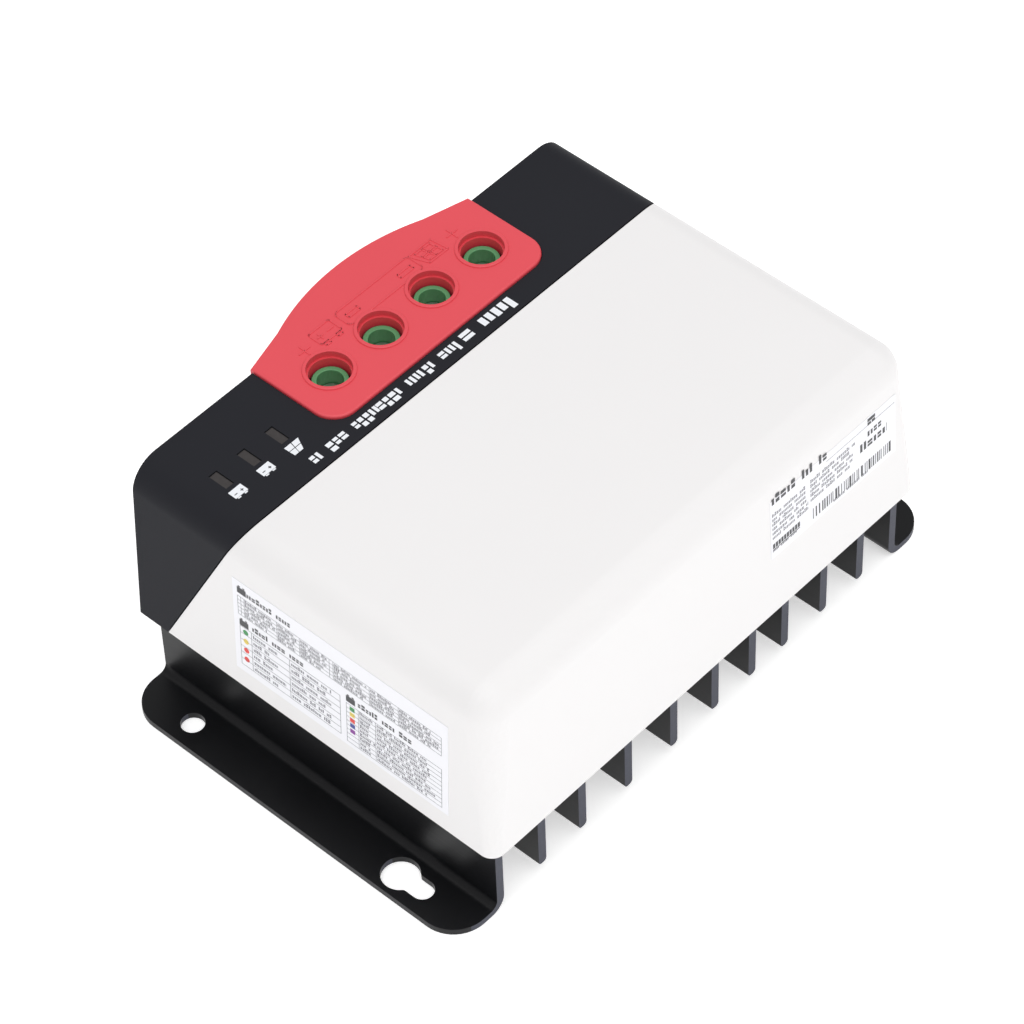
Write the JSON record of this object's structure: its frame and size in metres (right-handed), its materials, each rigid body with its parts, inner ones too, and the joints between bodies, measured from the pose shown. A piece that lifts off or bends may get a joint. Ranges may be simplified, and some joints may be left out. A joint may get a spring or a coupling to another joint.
{
  "type": "solar charge controller",
  "caption": "Wall-mounted solar charge controller: finned heat sink with keyhole flanges, plastic casing, clamp terminals under a lift-off cover.",
  "frame": {"origin": "middle of the whole outline, on the wall plane that the heat sink's feet rest on", "axes": "+Z out of the front face, +Y towards the plain end, -Y towards the terminal end, +X to the right seen from the front with +Y up"},
  "size_m": [0.2344, 0.166, 0.1022],
  "materials": {
    "anodised_aluminium": "black anodised extrusion",
    "white_plastic": "fine satin texture",
    "black_plastic": "fine matte texture",
    "red_plastic": "satin",
    "terminal_green": "satin",
    "zinc_steel": "zinc plated",
    "brass": "nickel free",
    "copper": "tinned copper",
    "circuit_board": "solder mask",
    "ferrite": "coated powder core",
    "capacitor_sleeve": "heat-shrink sleeve",
    "component_yellow": "moulded",
    "component_black": "moulded",
    "pad_grey": "silicone pad",
    "smoked_lens": "smoked",
    "lamp_white": "clear",
    "ribbon_grey": "flat cable",
    "label_white": "printed film"
  },
  "bodies": {
    "controller": {"heat_sink": "anodised_aluminium", "main_cover": "white_plastic", "terminal_housing": "black_plastic", "cover_screws": "zinc_steel", "housing_screws": "zinc_steel", "battery_positive_block": "terminal_green", "battery_negative_block": "terminal_green", "pv_negative_block": "terminal_green", "pv_positive_block": "terminal_green", "terminal_contacts": "copper", "main_board": "circuit_board", "board_standoffs": "brass", "board_screws": "zinc_steel", "front_inductor_core": "ferrite", "front_inductor_winding": "copper", "rear_inductor_core": "ferrite", "rear_inductor_winding": "copper", "electrolytic_capacitors": "capacitor_sleeve", "film_capacitors": "component_yellow", "current_shunts": "copper", "controller_chip": "component_black", "driver_chips": "component_black", "thermal_pads": "pad_grey", "power_transistors": "component_black", "transistor_clamp_bars": "zinc_steel", "clamp_bar_screws": "zinc_steel", "comms_socket": "component_black", "comms_contacts": "brass", "sensor_socket": "terminal_green", "sensor_pins": "zinc_steel", "solar_indicator_lens": "smoked_lens", "charge_indicator_lens": "smoked_lens", "battery_indicator_lens": "smoked_lens", "indicator_lamps": "lamp_white", "indicator_board": "circuit_board", "ribbon_headers": "component_black", "indicator_ribbon": "ribbon_grey", "side_label": "label_white", "rating_label": "label_white"},
    "terminal_cover": {"terminal_cover": "red_plastic"},
    "battery_positive_screw": {"battery_positive_screw": "zinc_steel"},
    "battery_positive_clamp": {"battery_positive_clamp": "zinc_steel"},
    "battery_negative_screw": {"battery_negative_screw": "zinc_steel"},
    "battery_negative_clamp": {"battery_negative_clamp": "zinc_steel"},
    "pv_negative_screw": {"pv_negative_screw": "zinc_steel"},
    "pv_negative_clamp": {"pv_negative_clamp": "zinc_steel"},
    "pv_positive_screw": {"pv_positive_screw": "zinc_steel"},
    "pv_positive_clamp": {"pv_positive_clamp": "zinc_steel"}
  },
  "joints": [
    {"name": "terminal_cover_lift", "type": "slide", "parent": "controller", "child": "terminal_cover", "axis": [0, 0, 1], "range_m": [0, 0.035]},
    {"name": "battery_positive_screw_turn", "type": "hinge", "parent": "controller", "child": "battery_positive_screw", "pos_m": [0.0297, -0.0521, 0.0879], "axis": [0, 0, 1], "range_deg": [-2880, 0]},
    {"name": "battery_positive_clamp_lift", "type": "slide", "parent": "controller", "child": "battery_positive_clamp", "axis": [0, 0, 1], "range_m": [0, 0.008]},
    {"name": "battery_negative_screw_turn", "type": "hinge", "parent": "controller", "child": "battery_negative_screw", "pos_m": [0.0059, -0.0521, 0.0879], "axis": [0, 0, 1], "range_deg": [-2880, 0]},
    {"name": "battery_negative_clamp_lift", "type": "slide", "parent": "controller", "child": "battery_negative_clamp", "axis": [0, 0, 1], "range_m": [0, 0.008]},
    {"name": "pv_negative_screw_turn", "type": "hinge", "parent": "controller", "child": "pv_negative_screw", "pos_m": [-0.0179, -0.0521, 0.0879], "axis": [0, 0, 1], "range_deg": [-2880, 0]},
    {"name": "pv_negative_clamp_lift", "type": "slide", "parent": "controller", "child": "pv_negative_clamp", "axis": [0, 0, 1], "range_m": [0, 0.008]},
    {"name": "pv_positive_screw_turn", "type": "hinge", "parent": "controller", "child": "pv_positive_screw", "pos_m": [-0.0417, -0.0521, 0.0879], "axis": [0, 0, 1], "range_deg": [-2880, 0]},
    {"name": "pv_positive_clamp_lift", "type": "slide", "parent": "controller", "child": "pv_positive_clamp", "axis": [0, 0, 1], "range_m": [0, 0.008]}
  ],
  "couplings": [
    {"joint": "battery_positive_screw_turn", "follows": "battery_positive_clamp_lift", "rad_per_m": -6283.2},
    {"joint": "battery_negative_screw_turn", "follows": "battery_negative_clamp_lift", "rad_per_m": -6283.2},
    {"joint": "pv_negative_screw_turn", "follows": "pv_negative_clamp_lift", "rad_per_m": -6283.2},
    {"joint": "pv_positive_screw_turn", "follows": "pv_positive_clamp_lift", "rad_per_m": -6283.2}
  ]
}
